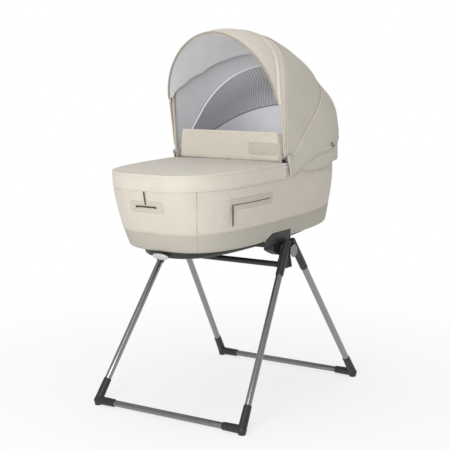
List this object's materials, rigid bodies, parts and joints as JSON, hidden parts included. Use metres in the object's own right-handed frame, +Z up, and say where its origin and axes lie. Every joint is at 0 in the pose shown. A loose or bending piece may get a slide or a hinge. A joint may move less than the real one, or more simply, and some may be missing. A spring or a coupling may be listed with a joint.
{
  "type": "bassinet on stand",
  "caption": "Soft-sided carrycot with a folding hood and a foot cover, resting on a folding A-frame stand of round tubes.",
  "frame": {"origin": "on the floor, midway between the four feet and under the stand's pivots; the object's box is centred on it within 5 mm", "axes": "+Z up; +X from the foot end toward the head end, where the hood is; +Y toward the side on the left of someone lying in it with their head at +X, and the object mirrors across Y = 0"},
  "size_m": [0.8668, 0.519, 1.0776],
  "materials": {
    "plastic": "satin moulded, nearly black",
    "aluminium": "satin anodised",
    "satin_plastic": "satin silver",
    "grey_plastic": "matt",
    "fabric": "melange linen weave",
    "leatherette": "soft grain, matt",
    "lining": "smooth woven cotton",
    "mesh": "open knitted mesh",
    "elastic": "woven cord and tape"
  },
  "bodies": {
    "stand_hub": {"cross_bar": "plastic", "hub_plate_left": "plastic", "hub_plate_right": "plastic", "adapter_left": "plastic", "adapter_right": "plastic", "pivot_bolt_left": "aluminium", "pivot_bolt_right": "aluminium", "pivot_spacer_left": "plastic", "pivot_spacer_right": "plastic"},
    "front_frame": {"front_base_tube": "aluminium", "front_leg_left": "aluminium", "front_leg_right": "aluminium", "front_foot_left": "plastic", "front_foot_right": "plastic", "front_hub_socket_left": "plastic", "front_hub_socket_right": "plastic"},
    "rear_frame": {"rear_base_tube": "aluminium", "rear_leg_left": "aluminium", "rear_leg_right": "aluminium", "rear_foot_left": "plastic", "rear_foot_right": "plastic", "rear_hub_socket_left": "plastic", "rear_hub_socket_right": "plastic", "hub_cap_left": "grey_plastic", "hub_cap_right": "grey_plastic"},
    "release_catch_left": {"release_catch_left": "plastic"},
    "release_catch_right": {"release_catch_right": "plastic"},
    "cot": {"base_tray": "plastic", "receiver_left": "plastic", "receiver_right": "plastic", "lower_band": "leatherette", "body_shell": "fabric", "inner_lining": "lining", "rim_frame": "plastic", "hood_bracket_left": "plastic", "hood_bracket_right": "plastic", "hood_pin_left": "aluminium", "hood_pin_right": "aluminium", "hood_rear_panel": "fabric", "hood_collar": "fabric", "window_mesh": "mesh", "hood_ring_pull_left": "satin_plastic", "hood_ring_pull_right": "satin_plastic", "foot_patch": "leatherette", "foot_cord": "elastic", "zip_patch_left": "leatherette", "zip_patch_right": "leatherette"},
    "mattress": {"mattress": "lining"},
    "adjuster_knob": {"adjuster_knob": "satin_plastic"},
    "zip_puller_left": {"zip_puller_left": "elastic"},
    "zip_puller_right": {"zip_puller_right": "elastic"},
    "apron": {"apron": "fabric"},
    "apron_flap": {"apron_flap": "fabric"},
    "hood_mid": {"hood_mid_panel": "fabric", "mid_bow": "plastic"},
    "hood_front": {"hood_front_band": "fabric", "front_bow": "plastic"},
    "visor": {"visor": "fabric"}
  },
  "joints": [
    {"name": "front_fold", "type": "hinge", "parent": "stand_hub", "child": "front_frame", "pos_m": [0, 0, 0.448], "axis": [0, 1, 0], "range_deg": [-34, 0]},
    {"name": "rear_fold", "type": "hinge", "parent": "stand_hub", "child": "rear_frame", "pos_m": [0, 0, 0.448], "axis": [0, 1, 0], "range_deg": [0, 34]},
    {"name": "catch_left", "type": "slide", "parent": "stand_hub", "child": "release_catch_left", "axis": [0, -1, 0], "range_m": [0, 0.004], "stiffness_N_per_m": 600, "springref_m": -0.001},
    {"name": "catch_right", "type": "slide", "parent": "stand_hub", "child": "release_catch_right", "axis": [0, 1, 0], "range_m": [0, 0.004], "stiffness_N_per_m": 600, "springref_m": -0.001},
    {"name": "cot_lift", "type": "slide", "parent": "stand_hub", "child": "cot", "axis": [0, 0, 1], "range_m": [0, 0.25]},
    {"name": "mattress_lift", "type": "slide", "parent": "cot", "child": "mattress", "axis": [0, 0, 1], "range_m": [0, 0.1]},
    {"name": "knob_turn", "type": "hinge", "parent": "cot", "child": "adjuster_knob", "pos_m": [-0.352, 0, 0.466], "axis": [-0.6428, 0, -0.766], "range_deg": [0, 90]},
    {"name": "zip_left", "type": "slide", "parent": "cot", "child": "zip_puller_left", "axis": [0.9882, 0.1532, 0], "range_m": [0, 0.1]},
    {"name": "zip_right", "type": "slide", "parent": "cot", "child": "zip_puller_right", "axis": [0.9882, -0.1532, 0], "range_m": [0, 0.1]},
    {"name": "apron_lift", "type": "slide", "parent": "cot", "child": "apron", "axis": [-0.6, 0, 0.8], "range_m": [0, 0.2]},
    {"name": "flap_fold", "type": "hinge", "parent": "apron", "child": "apron_flap", "pos_m": [-0.011, 0, 0.705], "axis": [0, 1, 0], "range_deg": [-82, 0]},
    {"name": "hood_mid_fold", "type": "hinge", "parent": "cot", "child": "hood_mid", "pos_m": [-0.009, 0, 0.702], "axis": [0, 1, 0], "range_deg": [0, 28]},
    {"name": "hood_front_fold", "type": "hinge", "parent": "hood_mid", "child": "hood_front", "pos_m": [-0.009, 0, 0.702], "axis": [0, 1, 0], "range_deg": [0, 22]},
    {"name": "visor_tuck", "type": "hinge", "parent": "hood_front", "child": "visor", "pos_m": [-0.044, 0, 0.885], "axis": [0, 1, 0], "range_deg": [0, 70]}
  ],
  "couplings": [
    {"joint": "rear_fold", "follows": "front_fold", "ratio": -1}
  ]
}
